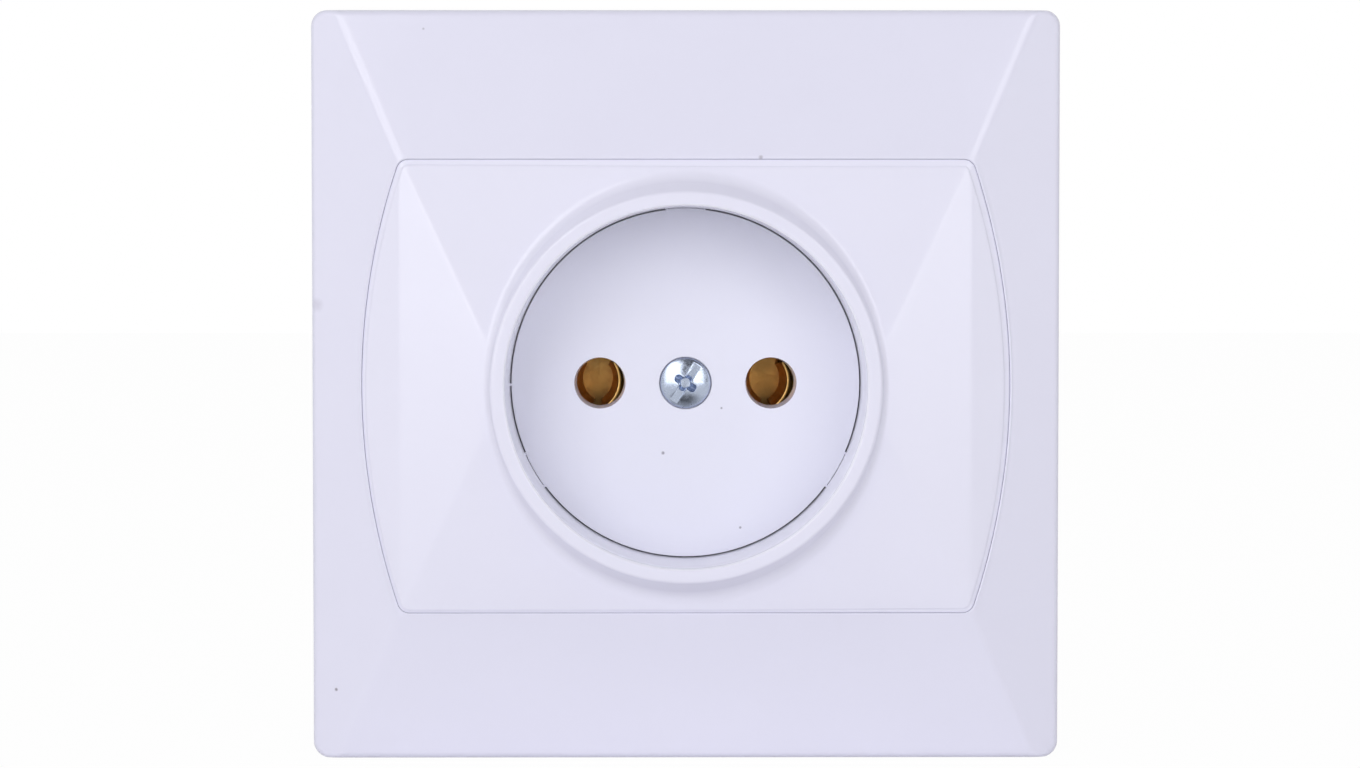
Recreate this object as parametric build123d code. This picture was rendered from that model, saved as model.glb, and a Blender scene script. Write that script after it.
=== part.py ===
from build123d import *
import os
from math import cos, radians, sin, tan

# Two-pole wall socket for a round flush box, in millimetres.
# X runs to the right, Z up and Y into the wall. The wall surface is the plane Y = 0,
# so a front height h above the wall lies at Y = -h.

# Outer frame
FRAME_WALL = 2.0
FRAME_CORNER_R = 1.7
FRAME_EDGE_R = 0.9
FRAME_TILT_TB = 10.2  # degrees, upper and lower slopes
FRAME_TILT_LR = 22.6  # degrees, left and right slopes
HIP_R = 2.2
OPENING_EDGE_R = 0.25

# Shoulder: the rectangle where the frame's slopes end and the cover's begin
SHOULDER_FRONT = 7.5
SIDE_MARGIN = 9.95  # from the ring to the shoulder at left and right
END_MARGIN = 3.55  # from the ring to the shoulder at top and bottom
SIDE_BOW = 4.3  # how far the seam bows past the shoulder at left and right
SEAM_CORNER_R = 1.4
SEAM_GAP = 0.2

# Cover plate
PLATE_WALL = 2.0
COVER_TILT_TB = 5.4
COVER_TILT_LR = 11.3
COVER_HIP_R = 2.0
BORDER_W = 0.65
BORDER_STEP = 0.14
LIP_W = 1.8  # lip of the frame under the edge of the plate
LIP_T = 1.5
RIM_W = 1.8  # thick rim of the frame around the opening
SEAT_GAP = 0.1

# Ring and well
RING_PROUD = 0.98  # above the side slopes of the cover
RING_W = 1.5
RING_DRAFT = 20.0
RING_EDGE_R = 0.3
RING_FOOT_R = 0.9
WELL_DEPTH = 12.5
WELL_R = 19.45  # at the floor
WELL_TAPER = 0.2
WELL_WALL = 1.85
LEDGE_W = 1.65  # ledge of the well under the floor disc
LEDGE_T = 1.8

# Floor disc with three snap hooks
FACE_T = 2.0
FACE_GAP = 0.27
TAB_GAP = 0.09
TAB_ANGLE = 12.5
HOOK_COUNT = 3
HOOK_W = 4.2
HOOK_T = 1.1
BARB = 0.9
BARB_T = 0.75
HOOK_GAP = 0.2
PIN_PITCH = 19.0
PIN_HOLE_R = 2.85
BOSS_WALL = 1.5
SCREW_SINK = 0.6  # recess of the cover screw's head
PIN_DEPTH = 19.5  # room for a pin behind the floor

# Cover screw and its nut
SCREW_R = 1.5
SCREW_HEAD_R = 2.8
SCREW_HEAD_H = 1.9
SCREW_RIM_H = 0.75
SCREW_TURN = 56.0  # degrees of the slot from the horizontal
SCREW_GAP = 0.12  # around the head in its recess
SCREW_SLOT_W = 0.85
SCREW_SLOT_D = 0.8
CROSS_L = 3.1  # of the cross recess at its mouth
CROSS_W = 0.95
CROSS_TIP_L = 1.1  # at its bottom
CROSS_TIP_W = 0.8
CROSS_D = 1.45
NUT_R = 2.5
NUT_L = 6.0
NUT_FLANGE = 0.6
THREAD_GAP = 0.05
HOLE_GAP = 0.2

# Slots of the other screws, and the edges of their heads and of the rivets' heads
SLOT_W = 0.85
SLOT_D = 0.9
HEAD_EDGE_R = 0.3

# Mechanism body
BASE_GAP = 0.3
BASE_COVER_T = 1.5
BASE_BACK_T = 2.0
BASE_SIDE_T = 1.85
BASE_END_T = 1.8
BASE_EDGE_R = 0.35
POST_ANGLE = 53.0
POST_GAP = 0.28  # from the wall of the well to a post
POST_R = 2.7
RIVET_R = 1.5
RIVET_HEAD_R = 2.3
RIVET_HEAD_T = 0.8
RIVET_BORE_R = 0.9
RIVET_BORE_D = 3.0

# Contacts and terminals
STRIP_W = 8.0
STRIP_T = 0.8
CONTACT_PLAY = 0.45  # sideways room of a contact in its pocket
CONTACT_SHIFT = -0.4  # both contacts lie to the left in their pockets
CONTACT_HALF = 5.5  # half length of the contact's floor
POCKET_PAST_POST = 0.9
LEAF_T = 0.4
LEAF_PRESS = 1.05  # how far the centre of each leaf's curve lies past the pin's axis
LEAF_ROOT_R = 3.5
LEAF_PINCH_R = 2.95
LEAF_MOUTH_R = 3.65
LEAF_FUNNEL = 6.4  # from the mouth to the pinch
LEAF_GAP = 1.1  # from the mouth of the leaves to the base cover
LEAF_TOP = 36.0
LEAF_BOTTOM = 60.0
TERMINAL_DEPTH = 5.7  # of the terminal plates in the base
TERMINAL_GAP = 0.7  # from a terminal plate to the post beside it
TERMINAL_IN = 4.8  # of a terminal screw from the end of its plate
TERMINAL_LEDGE = 1.2
TERMINAL_R = 1.75
TERMINAL_HEAD_H = 2.0
TERMINAL_TIP = 1.4
WIRE_ROOM = 2.0
CLAMP_GAP = 0.25
CLAMP_T = 1.0
WIRE_ENTRY_W = 4.8
WIRE_ENTRY_H = 5.6
ACCESS_R = 3.3
PEG_R = 1.0

# Support plate
STEEL_T = 1.0
BEND_R = 0.9  # outside of the folds
STEEL_EDGE = 3.9  # outside the box screw holes
STEEL_ROOM = 3.0  # from the plate to the wall of the frame
STEEL_CHAMFER = 13.0
STEEL_GAP = 0.7  # around the wall of the well
FLANGE_ROOM = 0.8  # from the folded edges to the frame
BOX_PITCH = 60.0
BOX_HOLE_R = 2.1
BOX_SLOT_L = 9.0
BOX_LAND = 0.6  # from a claw screw's head to the slot beside it

# Spreader claws
CLAW_ARM = 5.0  # from the swing axis to the claw screw
CLAW_T = 1.2
CLAW_W = 8.0
CLAW_LEG = 13.6
CLAW_TOE = 3.6
CLAW_BEND_R = 1.2
CLAW_FOOT = 6.8
CLAW_KNUCKLE_R = 1.1
TRUNNION_R = 1.0
TRUNNION_L = 1.6
TRUNNION_GAP = 0.05
CLAW_WINDOW_W = 3.8
CLAW_WINDOW_FROM = 3.6
CLAW_WINDOW_L = 6.4
TOOTH_COUNT = 4
TOOTH_H = 1.0
EAR_GAP = 0.3
EAR_T = 1.4
EAR_R = 1.9
CLAW_SCREW_IN = 2.8  # from the opening of the support plate
CLAW_SCREW_R = 1.5
CLAW_HEAD_R = 2.5
CLAW_HEAD_H = 1.8
BARREL_R = 2.2
BARREL_L = 7.6
BARREL_GAP = 0.1
CLAW_SCREW_TIP = 0.5

# Parts of a direction, to tell level edges and faces from slanted and standing ones
LEVEL_TOLERANCE = 0.05
STANDING = 0.7

# Places worked out from the sizes above, from the well outwards
WELL_MOUTH_R = WELL_R + WELL_TAPER
RING_OUTER = WELL_MOUTH_R + RING_W
SHOULDER_W = 2 * (RING_OUTER + SIDE_MARGIN)
SHOULDER_H = 2 * (RING_OUTER + END_MARGIN)
RING_FRONT = SHOULDER_FRONT + SIDE_MARGIN * tan(radians(COVER_TILT_LR)) + RING_PROUD
TUBE_R = WELL_R + WELL_WALL
LEDGE_R = WELL_R - LEDGE_W
STEEL_OPENING_R = TUBE_R + STEEL_GAP
STEEL_SIDE = BOX_PITCH + 2 * (BOX_HOLE_R + STEEL_EDGE)
FRAME_SIDE = STEEL_SIDE + 2 * (STEEL_ROOM + FRAME_WALL)
FRONT_ROOM = FRAME_SIDE / 2
CLAW_SCREW_X = STEEL_OPENING_R + CLAW_SCREW_IN
CLAW_X = CLAW_SCREW_X - CLAW_ARM
BOX_SLOT_X = CLAW_SCREW_X + CLAW_HEAD_R + BOX_LAND + BOX_HOLE_R
POST_X = (TUBE_R + POST_GAP + POST_R) * cos(radians(POST_ANGLE))
POST_Z = (TUBE_R + POST_GAP + POST_R) * sin(radians(POST_ANGLE))
PIN_X = PIN_PITCH / 2
POCKET_HALF = STRIP_W / 2 + CONTACT_PLAY
POCKET_END = POST_Z + POCKET_PAST_POST
BASE_HALF_X = PIN_X + POCKET_HALF + BASE_SIDE_T
BASE_HALF_Z = POCKET_END + BASE_END_T
TERMINAL_END = POST_Z - POST_R - TERMINAL_GAP
TERMINAL_Z = TERMINAL_END - TERMINAL_IN
TERMINAL_ROOM = POCKET_HALF - TERMINAL_LEDGE
CLAMP_SIDE = 2 * (TERMINAL_ROOM - abs(CONTACT_SHIFT) - CLAMP_GAP)
TERMINAL_HEAD_R = CLAMP_SIDE / 2

# Depths behind the wall surface
FLOOR_Y = WELL_DEPTH - RING_FRONT
LEDGE_Y = FLOOR_Y + FACE_T
TUBE_BACK = LEDGE_Y + LEDGE_T
BASE_COVER_Y = TUBE_BACK + BASE_GAP
BASE_Y = BASE_COVER_Y + BASE_COVER_T
CLAW_Y = BASE_Y + EAR_R
TERMINAL_Y = BASE_Y + TERMINAL_DEPTH
STRIP_Y = FLOOR_Y + PIN_DEPTH
BASE_FLOOR_Y = STRIP_Y + STRIP_T
BASE_BACK = BASE_FLOOR_Y + BASE_BACK_T
LEAF_MOUTH_Y = BASE_Y + LEAF_GAP


def prism(sketch, front, back):
    """Extrude an XZ outline between two depths."""
    return extrude(Plane.XZ.offset(-back) * sketch, amount=back - front)


def box_between(low, high):
    """Box from its lowest to its highest corner."""
    size = [b - a for a, b in zip(low, high)]
    middle = [(a + b) / 2 for a, b in zip(low, high)]
    return Pos(*middle) * Box(*size)


def rod(radius, front, back, x=0.0, z=0.0):
    """Round rod along Y between two depths."""
    return prism(Pos(x, z) * Circle(radius), front, back)


def round_head(radius, front, back, faces_front):
    """Round head of a screw or rivet with the edge of its outer end rounded."""
    disc = rod(radius, front, back)
    rims = disc.edges().filter_by(GeomType.CIRCLE).sort_by(Axis.Y)
    return fillet(rims[0] if faces_front else rims[-1], HEAD_EDGE_R)


def turned(points):
    """Turn an outline of (radius, depth) points about the Y axis."""
    return revolve(make_face(Polyline(*points, close=True)), axis=Axis.Y)


def slope(direction, half, tilt, drop):
    """Plane through a shoulder line, falling outwards, dropped towards the wall."""
    outward = Vector(direction[0], 0, direction[1])
    origin = outward * half + Vector(0, drop - SHOULDER_FRONT, 0)
    normal = outward * sin(radians(tilt)) + Vector(0, -cos(radians(tilt)), 0)
    return Plane(origin=origin, z_dir=normal)


def slopes(tilt_lr, tilt_tb, drop):
    """The four slopes that meet the shoulder rectangle."""
    planes = []
    for sign in (-1, 1):
        planes.append(slope((sign, 0), SHOULDER_W / 2, tilt_lr, drop))
        planes.append(slope((0, sign), SHOULDER_H / 2, tilt_tb, drop))
    return planes


def under(block, planes):
    """Keep what lies behind all the planes."""
    for plane in planes:
        block = split(block, bisect_by=plane, keep=Keep.BOTTOM)
    return block


def is_hip(edge):
    """True for a slanted ridge between two slopes."""
    along = edge.tangent_at(0.5)
    slanted = min(abs(along.X), abs(along.Z)) > LEVEL_TOLERANCE
    return slanted and edge.geom_type == GeomType.LINE


def seam_outline(grow):
    """Outline of the seam: straight top and bottom, bowed sides, rounded corners."""
    half_w = SHOULDER_W / 2
    half_h = SHOULDER_H / 2
    right = ThreePointArc((half_w, half_h), (half_w + SIDE_BOW, 0), (half_w, -half_h))
    left = ThreePointArc((-half_w, -half_h), (-half_w - SIDE_BOW, 0), (-half_w, half_h))
    bottom = Line((half_w, -half_h), (-half_w, -half_h))
    top = Line((-half_w, half_h), (half_w, half_h))
    sharp = make_face([right, bottom, left, top])
    outline = fillet(sharp.vertices(), SEAM_CORNER_R)
    return offset(outline, grow, kind=Kind.TANGENT) if grow else outline


def is_wall(face):
    """True for a face that stands straight up from the wall surface."""
    upright = abs(face.normal_at().Y) < LEVEL_TOLERANCE
    return upright and face.geom_type in (GeomType.PLANE, GeomType.CYLINDER)


def front_edges(block):
    """Edges where the standing faces of a block meet its slopes."""
    back = block.faces().sort_by(Axis.Y)[-1].edges()
    edges = [e for e in block.faces().filter_by(is_wall).edges() if e not in back]
    return [e for e in edges if abs(e.tangent_at(0.5).Y) < STANDING]


def frame_block(inset, drop):
    """Square block under the frame's slopes."""
    side = FRAME_SIDE - 2 * inset
    block = prism(Rectangle(side, side), -FRONT_ROOM, 0)
    return under(block, slopes(FRAME_TILT_LR, FRAME_TILT_TB, drop))


def cover_block(outline, drop):
    """Block under the cover's slopes, with the frame's side slopes carried on."""
    block = prism(outline, -FRONT_ROOM, 0)
    block = under(block, slopes(COVER_TILT_LR, COVER_TILT_TB, drop))
    sides = [slope((s, 0), SHOULDER_W / 2, FRAME_TILT_LR, drop) for s in (-1, 1)]
    return under(block, sides)


def make_frame():
    """Outer frame: a sloped shell with a seat lip around the opening."""
    skin = frame_block(0, 0)
    skin = fillet(skin.edges().filter_by(Axis.Y), FRAME_CORNER_R)
    skin = fillet(skin.edges().filter_by(is_hip), HIP_R)
    skin = fillet(front_edges(skin), FRAME_EDGE_R)
    rim = skin & prism(seam_outline(SEAM_GAP / 2 + RIM_W), -FRONT_ROOM, 0)
    wide = seam_outline(SEAM_GAP / 2 + 2 * RIM_W)
    rim -= cover_block(wide, PLATE_WALL + SEAT_GAP + LIP_T)
    shell = skin - frame_block(FRAME_WALL, FRAME_WALL) + rim
    pocket = prism(seam_outline(SEAM_GAP / 2), -FRONT_ROOM, 0)
    shell -= pocket - cover_block(wide, PLATE_WALL + SEAT_GAP)
    shell -= prism(seam_outline(SEAM_GAP / 2 - LIP_W), -FRONT_ROOM, 0)
    return fillet([e for e in shell.edges() if is_opening_edge(e)], OPENING_EDGE_R)


def is_opening_edge(edge):
    """True for an edge of the frame's opening on its slopes."""
    middle = edge @ 0.5
    past_side = abs(middle.X) - SHOULDER_W / 2
    past_end = abs(middle.Z) - SHOULDER_H / 2
    fall = max(past_side * tan(radians(FRAME_TILT_LR)), past_end * tan(radians(FRAME_TILT_TB)))
    on_slope = abs(middle.Y + SHOULDER_FRONT - fall) < SEAM_GAP
    return on_slope and past_side < SIDE_BOW + SEAM_GAP and past_end < SEAM_GAP


def hook_places():
    """Angles of the snap hooks, one of them at the top."""
    return [90 + n * 360 / HOOK_COUNT for n in range(HOOK_COUNT)]


def around(shape, angle):
    """Turn a shape made on the +X side to an angle seen from the front."""
    return Rot(0, -angle, 0) * shape


def make_cover():
    """Cover plate with its raised ring and the wall of the well."""
    edge = -SEAM_GAP / 2
    raised = cover_block(seam_outline(edge - BORDER_W), 0)
    raised = fillet(raised.edges().filter_by(is_hip), COVER_HIP_R)
    hollow = cover_block(seam_outline(BORDER_W), PLATE_WALL)
    core = WELL_R / 2
    foot = RING_OUTER + RING_FRONT * tan(radians(RING_DRAFT))
    cone = turned([(core, -RING_FRONT), (RING_OUTER, -RING_FRONT), (foot, 0), (core, 0)])
    plate = raised + cover_block(seam_outline(edge), BORDER_STEP) + cone
    foot_line = [e for e in plate.edges() if is_ring_foot(e)]
    plate = fillet(foot_line, RING_FOOT_R)
    plate -= hollow
    tube_front = RING_W - RING_FRONT
    plate += turned([(core, tube_front), (TUBE_R, tube_front), (TUBE_R, TUBE_BACK), (core, TUBE_BACK)])
    well = [(0, -RING_FRONT), (WELL_MOUTH_R, -RING_FRONT), (WELL_R, FLOOR_Y), (WELL_R, LEDGE_Y)]
    well += [(LEDGE_R, LEDGE_Y), (LEDGE_R, TUBE_BACK), (0, TUBE_BACK)]
    plate -= turned(well)
    circles = plate.edges().filter_by(GeomType.CIRCLE)
    plate = fillet([e for e in circles if -e.center().Y > RING_FRONT - RING_EDGE_R], RING_EDGE_R)
    relief_r = LEDGE_R + BARB + HOOK_GAP
    half = HOOK_W / 2 + HOOK_GAP
    relief = box_between((0, TUBE_BACK - BARB_T - HOOK_GAP, -half), (relief_r, TUBE_BACK, half))
    for angle in hook_places():
        plate -= around(relief, angle)
    return plate


def is_ring_foot(edge):
    """True for an edge where the ring's cone meets the cover's slopes."""
    radius = max(Vector(p.X, 0, p.Z).length for p in (edge @ 0, edge @ 0.5, edge @ 1))
    height = -(edge @ 0.5).Y
    near = RING_OUTER + RING_EDGE_R / 2 < radius < RING_OUTER + END_MARGIN / 2
    return near and height > SHOULDER_FRONT / 2


def make_face_disc():
    """Floor disc of the well with bosses for the pins and the screw, and snap hooks."""
    disc = rod(WELL_R - FACE_GAP, FLOOR_Y, LEDGE_Y)
    boss_back = BASE_COVER_Y - SEAT_GAP
    for x in (-PIN_X, PIN_X):
        disc += rod(PIN_HOLE_R + BOSS_WALL, FLOOR_Y, boss_back, x)
    disc += rod(SCREW_R + HOLE_GAP + BOSS_WALL, FLOOR_Y, boss_back)
    hook_r = LEDGE_R - HOOK_GAP
    hook_back = TUBE_BACK - SEAT_GAP
    hook_in = hook_r - HOOK_T
    leg = box_between((hook_in, LEDGE_Y - FACE_T / 2, -HOOK_W / 2), (hook_r, hook_back, HOOK_W / 2))
    barb_front = hook_back - BARB_T + SEAT_GAP
    barb_out = LEDGE_R + BARB - HOOK_GAP
    barb = box_between((hook_in, barb_front, -HOOK_W / 2), (barb_out, hook_back, HOOK_W / 2))
    tab = rod(WELL_R - TAB_GAP, FLOOR_Y, LEDGE_Y)
    wedge_half = WELL_R * tan(radians(TAB_ANGLE / 2))
    wedge = Polyline((0, 0), (WELL_R, wedge_half), (WELL_R, -wedge_half), close=True)
    tab &= prism(make_face(wedge), FLOOR_Y, LEDGE_Y)
    for angle in hook_places():
        disc += around(leg + barb + tab, angle)
    for x in (-PIN_X, PIN_X):
        disc -= rod(PIN_HOLE_R, FLOOR_Y, boss_back, x)
    disc -= rod(SCREW_R + HOLE_GAP, FLOOR_Y, boss_back)
    return disc - rod(SCREW_HEAD_R + SCREW_GAP, FLOOR_Y, FLOOR_Y + SCREW_SINK)


def make_cover_screw():
    """Pan head screw with a slot and a tapered cross recess."""
    seat = FLOOR_Y + SCREW_SINK
    top = seat - SCREW_HEAD_H
    rim = seat - SCREW_RIM_H
    tip = BASE_Y + NUT_L
    dome = TangentArc((0, top), (SCREW_HEAD_R, rim), tangent=(1, 0))
    head = Polyline((SCREW_HEAD_R, rim), (SCREW_HEAD_R, seat), (SCREW_R, seat))
    shank = Polyline((SCREW_R, seat), (SCREW_R, tip), (0, tip), (0, top))
    screw = revolve(make_face([dome, head, shank]), axis=Axis.Y)
    slot_back = top + SCREW_SLOT_D
    half = SCREW_SLOT_W / 2
    slot = box_between((-SCREW_HEAD_R, top, -half), (SCREW_HEAD_R, slot_back, half))
    arm = cross_arm(top)
    return screw - around(slot + arm + around(arm, 90), SCREW_TURN)


def cross_arm(top):
    """One tapered arm of the cross recess, along X."""
    mouth = Plane.XZ.offset(-top) * SlotOverall(CROSS_L, CROSS_W)
    tip = Plane.XZ.offset(-top - CROSS_D) * SlotOverall(CROSS_TIP_L, CROSS_TIP_W)
    return loft([mouth, tip])


def make_cover_nut():
    """Flanged threaded insert for the cover screw."""
    nut = rod(NUT_R, BASE_Y, BASE_Y + NUT_L)
    nut += rod(NUT_R + NUT_FLANGE, BASE_Y, BASE_Y + NUT_FLANGE)
    return nut - rod(SCREW_R + THREAD_GAP, BASE_Y, BASE_Y + NUT_L)


def post_places():
    """Centres of the four riveted corner posts."""
    return [(sx * POST_X, sz * POST_Z) for sx in (-1, 1) for sz in (-1, 1)]


def base_outline():
    """Outline of the mechanism body with its four round corners."""
    outline = Rectangle(2 * BASE_HALF_X, 2 * BASE_HALF_Z)
    for x, z in post_places():
        outline += Pos(x, z) * Circle(POST_R)
    return outline


def terminal_places():
    """Name and centre of each terminal."""
    places = {}
    for side, sx in (("left", -1), ("right", 1)):
        for level, sz in (("top", 1), ("bottom", -1)):
            places[f"{side}_{level}"] = (sx * PIN_X + CONTACT_SHIFT, sz * TERMINAL_Z)
    return places


def make_base_cover():
    """Insulating front plate with posts to the support plate and pegs on the contacts."""
    cover = prism(base_outline(), BASE_COVER_Y, BASE_Y)
    for x, z in post_places():
        cover += rod(POST_R, 0, BASE_COVER_Y, x, z)
    peg_z = (TERMINAL_Z + TERMINAL_R + TERMINAL_END) / 2
    for x in (-PIN_X, PIN_X):
        cover -= rod(PIN_HOLE_R + HOLE_GAP, BASE_COVER_Y, BASE_Y, x)
        for z in (-peg_z, peg_z):
            cover += rod(PEG_R, BASE_Y, TERMINAL_Y - SEAT_GAP, x, z)
    for x, z in post_places():
        cover -= rod(RIVET_R + THREAD_GAP, 0, BASE_Y, x, z)
    return cover - rod(SCREW_R + HOLE_GAP, BASE_COVER_Y, BASE_Y)


def make_base():
    """Insulating body with pockets for the contacts and terminals and ears for the claws."""
    base = prism(base_outline(), BASE_Y, BASE_BACK)
    base = fillet(base.faces().sort_by(Axis.Y)[-1].edges(), BASE_EDGE_R)
    plate_back = TERMINAL_Y + STRIP_T
    core = PIN_X - POCKET_HALF - BASE_END_T
    for x in (-PIN_X, PIN_X):
        front_room = (x - POCKET_HALF, BASE_Y, -POCKET_END), (x + POCKET_HALF, plate_back, POCKET_END)
        half = CONTACT_HALF + CONTACT_PLAY
        middle_room = (x - POCKET_HALF, BASE_Y, -half), (x + POCKET_HALF, BASE_FLOOR_Y, half)
        rear_room = (x - TERMINAL_ROOM, BASE_Y, -POCKET_END), (x + TERMINAL_ROOM, BASE_FLOOR_Y, POCKET_END)
        for low, high in (front_room, middle_room, rear_room):
            base -= box_between(low, high)
    for sign in (-1, 1):
        low_z, high_z = sorted((sign * CONTACT_HALF, sign * POCKET_END))
        base -= box_between((-core, BASE_Y, low_z), (core, BASE_FLOOR_Y, high_z))
    for x, z in post_places():
        base += rod(POST_R, BASE_Y, BASE_FLOOR_Y, x, z)
    for x in (-PIN_X, PIN_X):
        for z in (-TERMINAL_Z, TERMINAL_Z):
            base -= rod(ACCESS_R, BASE_FLOOR_Y, BASE_BACK, x, z)
        entry_low = (x - WIRE_ENTRY_W / 2, plate_back, -2 * BASE_HALF_Z)
        entry_high = (x + WIRE_ENTRY_W / 2, plate_back + WIRE_ENTRY_H, 2 * BASE_HALF_Z)
        ends = box_between((-BASE_HALF_X, 0, -POCKET_END), (BASE_HALF_X, BASE_BACK, POCKET_END))
        base -= box_between(entry_low, entry_high) - ends
    for x, z in post_places():
        base -= rod(RIVET_R + THREAD_GAP, BASE_Y, BASE_BACK, x, z)
    base -= rod(NUT_R + NUT_FLANGE + THREAD_GAP, BASE_Y, BASE_Y + NUT_FLANGE + THREAD_GAP)
    base -= rod(NUT_R + THREAD_GAP, BASE_Y, BASE_Y + NUT_L + THREAD_GAP)
    ear = claw_ear()
    for piece in (ear, mirror(ear, about=Plane.XY)):
        base += piece
        base += mirror(piece, about=Plane.YZ)
    return base


def claw_ear():
    """Ear on the right of the base with the bearing of a claw's trunnion."""
    low = CLAW_W / 2 + EAR_GAP
    root = BASE_HALF_X - BASE_SIDE_T / 2
    arm = Pos((root + CLAW_X) / 2, CLAW_Y) * Rectangle(CLAW_X - root, 2 * EAR_R)
    outline = arm + Pos(CLAW_X, CLAW_Y) * Circle(EAR_R)
    outline -= Pos(CLAW_X, CLAW_Y) * Circle(TRUNNION_R + TRUNNION_GAP)
    return extrude(Plane.XY.offset(low) * outline, amount=EAR_T)


def make_rivets():
    """Four tubular rivets through support plate, base cover and base."""
    rivet = rod(RIVET_R, -STEEL_T, BASE_BACK)
    tail = BASE_BACK + RIVET_HEAD_T
    rivet += round_head(RIVET_HEAD_R, -STEEL_T - RIVET_HEAD_T, -STEEL_T, True)
    rivet += round_head(RIVET_HEAD_R, BASE_BACK, tail, False)
    rivet -= rod(RIVET_BORE_R, tail - RIVET_BORE_D, tail)
    return Compound([Pos(x, 0, z) * rivet for x, z in post_places()])


def make_contact(pin_x):
    """Brass contact: a hat shaped strip with two curved leaves around the pin."""
    half_t = STRIP_T / 2
    web = CONTACT_HALF - half_t
    path = Polyline(
        (TERMINAL_END, TERMINAL_Y + half_t),
        (web, TERMINAL_Y + half_t),
        (web, STRIP_Y + half_t),
        (-web, STRIP_Y + half_t),
        (-web, TERMINAL_Y + half_t),
        (-TERMINAL_END, TERMINAL_Y + half_t),
    )
    hat_plane = Plane(origin=(0, 0, 0), x_dir=(0, 0, 1), z_dir=(-1, 0, 0))
    strip = extrude(hat_plane * trace(path, STRIP_T), amount=STRIP_W / 2, both=True)
    for z in (-TERMINAL_Z, TERMINAL_Z):
        strip -= rod(TERMINAL_R + THREAD_GAP, TERMINAL_Y, TERMINAL_Y + STRIP_T, 0, z)
    pinch_y = LEAF_MOUTH_Y + LEAF_FUNNEL
    line = Polyline((LEAF_ROOT_R, STRIP_Y + half_t), (LEAF_PINCH_R, pinch_y), (LEAF_MOUTH_R, LEAF_MOUTH_Y))
    leaf = revolve(trace(line, LEAF_T), axis=Axis.Y, revolution_arc=LEAF_TOP + LEAF_BOTTOM)
    leaf = Pos(-LEAF_PRESS, 0, 0) * Rot(0, -LEAF_TOP, 0) * leaf
    contact = strip + leaf + mirror(leaf, about=Plane.YZ)
    return Pos(pin_x + CONTACT_SHIFT, 0, 0) * contact


def make_terminal_clamp(x, z):
    """Square pressure plate under a terminal screw."""
    front = TERMINAL_Y + STRIP_T + WIRE_ROOM
    clamp = prism(Pos(x, z) * RectangleRounded(CLAMP_SIDE, CLAMP_SIDE, CLAMP_T / 2), front, front + CLAMP_T)
    return clamp - rod(TERMINAL_R + HOLE_GAP, front, front + CLAMP_T, x, z)


def make_terminal_screw(x, z):
    """Slotted terminal screw, its head to the rear."""
    seat = TERMINAL_Y + STRIP_T + WIRE_ROOM + CLAMP_T
    top = seat + TERMINAL_HEAD_H
    screw = rod(TERMINAL_R, TERMINAL_Y - TERMINAL_TIP, seat)
    screw += round_head(TERMINAL_HEAD_R, seat, top, False)
    slot = box_between((-TERMINAL_HEAD_R, top - SLOT_D, -SLOT_W / 2), (TERMINAL_HEAD_R, top, SLOT_W / 2))
    return Pos(x, 0, z) * (screw - slot)


def make_support_plate():
    """Steel plate with cut corners, folded edges, box screw holes and slots."""
    outline = chamfer(Rectangle(STEEL_SIDE, STEEL_SIDE).vertices(), STEEL_CHAMFER)
    outline -= Circle(STEEL_OPENING_R)
    for sign in (-1, 1):
        outline -= Pos(0, sign * BOX_PITCH / 2) * Circle(BOX_HOLE_R)
        outline -= Pos(sign * BOX_SLOT_X, 0) * Rot(0, 0, 90) * SlotOverall(BOX_SLOT_L, 2 * BOX_HOLE_R)
        outline -= Pos(sign * CLAW_SCREW_X, 0) * Circle(CLAW_SCREW_R + HOLE_GAP)
    for x, z in post_places():
        outline -= Pos(x, z) * Circle(RIVET_R + THREAD_GAP)
    plate = prism(outline, -STEEL_T, 0)
    fold = STEEL_SIDE / 2 - STEEL_CHAMFER
    fall = (STEEL_SIDE - SHOULDER_H) / 2 * tan(radians(FRAME_TILT_TB))
    fold_front = SHOULDER_FRONT - fall - FRAME_WALL - FLANGE_ROOM
    for sign in (-1, 1):
        low_z, high_z = sorted((sign * STEEL_SIDE / 2, sign * (STEEL_SIDE / 2 - STEEL_T)))
        plate += box_between((-fold, -fold_front, low_z), (fold, 0, high_z))
    back_edges = plate.faces().sort_by(Axis.Y)[-1].edges().filter_by(Axis.X)
    bends = [e for e in back_edges if abs(e.center().Z) > STEEL_SIDE / 2 - STEEL_T]
    return fillet(bends, BEND_R)


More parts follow.
